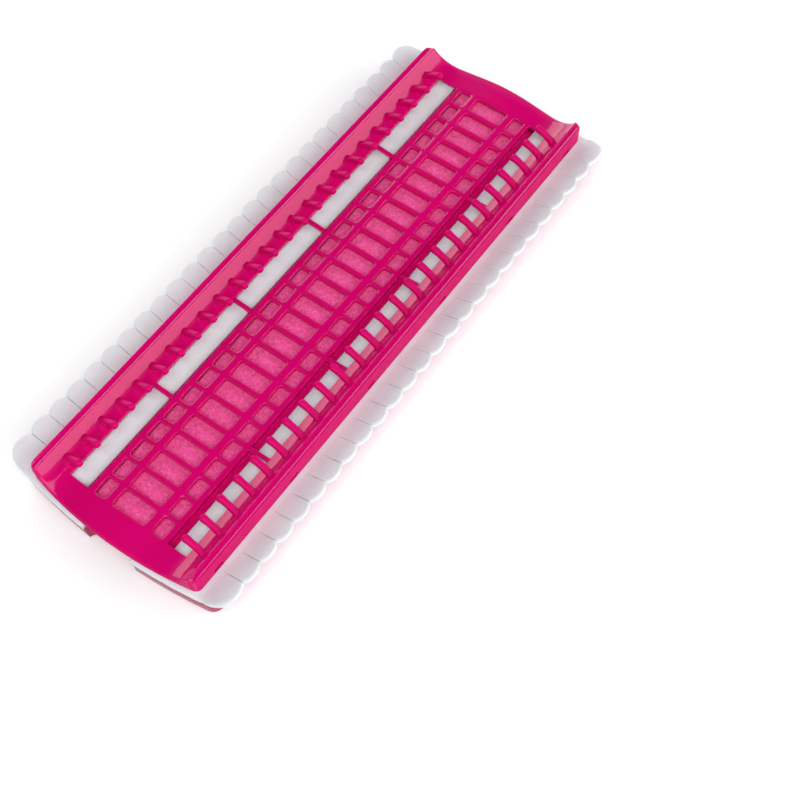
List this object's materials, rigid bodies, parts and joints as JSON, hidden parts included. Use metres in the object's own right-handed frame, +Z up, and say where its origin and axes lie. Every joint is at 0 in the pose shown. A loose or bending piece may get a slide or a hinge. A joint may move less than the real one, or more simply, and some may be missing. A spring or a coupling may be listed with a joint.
{
  "type": "embroidery_floss_board",
  "caption": "Magenta plastic embroidery floss board with curled tines along two slots, a needle grid over a pink cushion, scalloped white foam thread holders and a base tray",
  "frame": {"origin": "centre of the base's flat underside, on the table", "axes": "X across the board, Y along it, Z up"},
  "size_m": [0.1404, 0.3488, 0.0291],
  "materials": {
    "cover_plastic": "glossy moulded magenta",
    "base_plastic": "glossy moulded dark magenta",
    "white_foam": "matte closed-cell foam",
    "pink_sponge": "open-cell sponge, speckled"
  },
  "bodies": {
    "base": {"base_tray": "base_plastic", "snap_hooks": "base_plastic", "foam_strip_left": "white_foam", "foam_strip_right": "white_foam", "needle_cushion": "pink_sponge"},
    "cover": {"cover_rail_left": "cover_plastic", "cover_rail_right": "cover_plastic", "cover_end_near": "cover_plastic", "cover_end_far": "cover_plastic", "cross_ribs": "cover_plastic", "needle_grid": "cover_plastic", "tines_left": "cover_plastic", "tines_right": "cover_plastic"}
  },
  "joints": [
    {"name": "cover_lift", "type": "slide", "parent": "base", "child": "cover", "axis": [0, 0, 1], "range_m": [0, 0.03]}
  ]
}
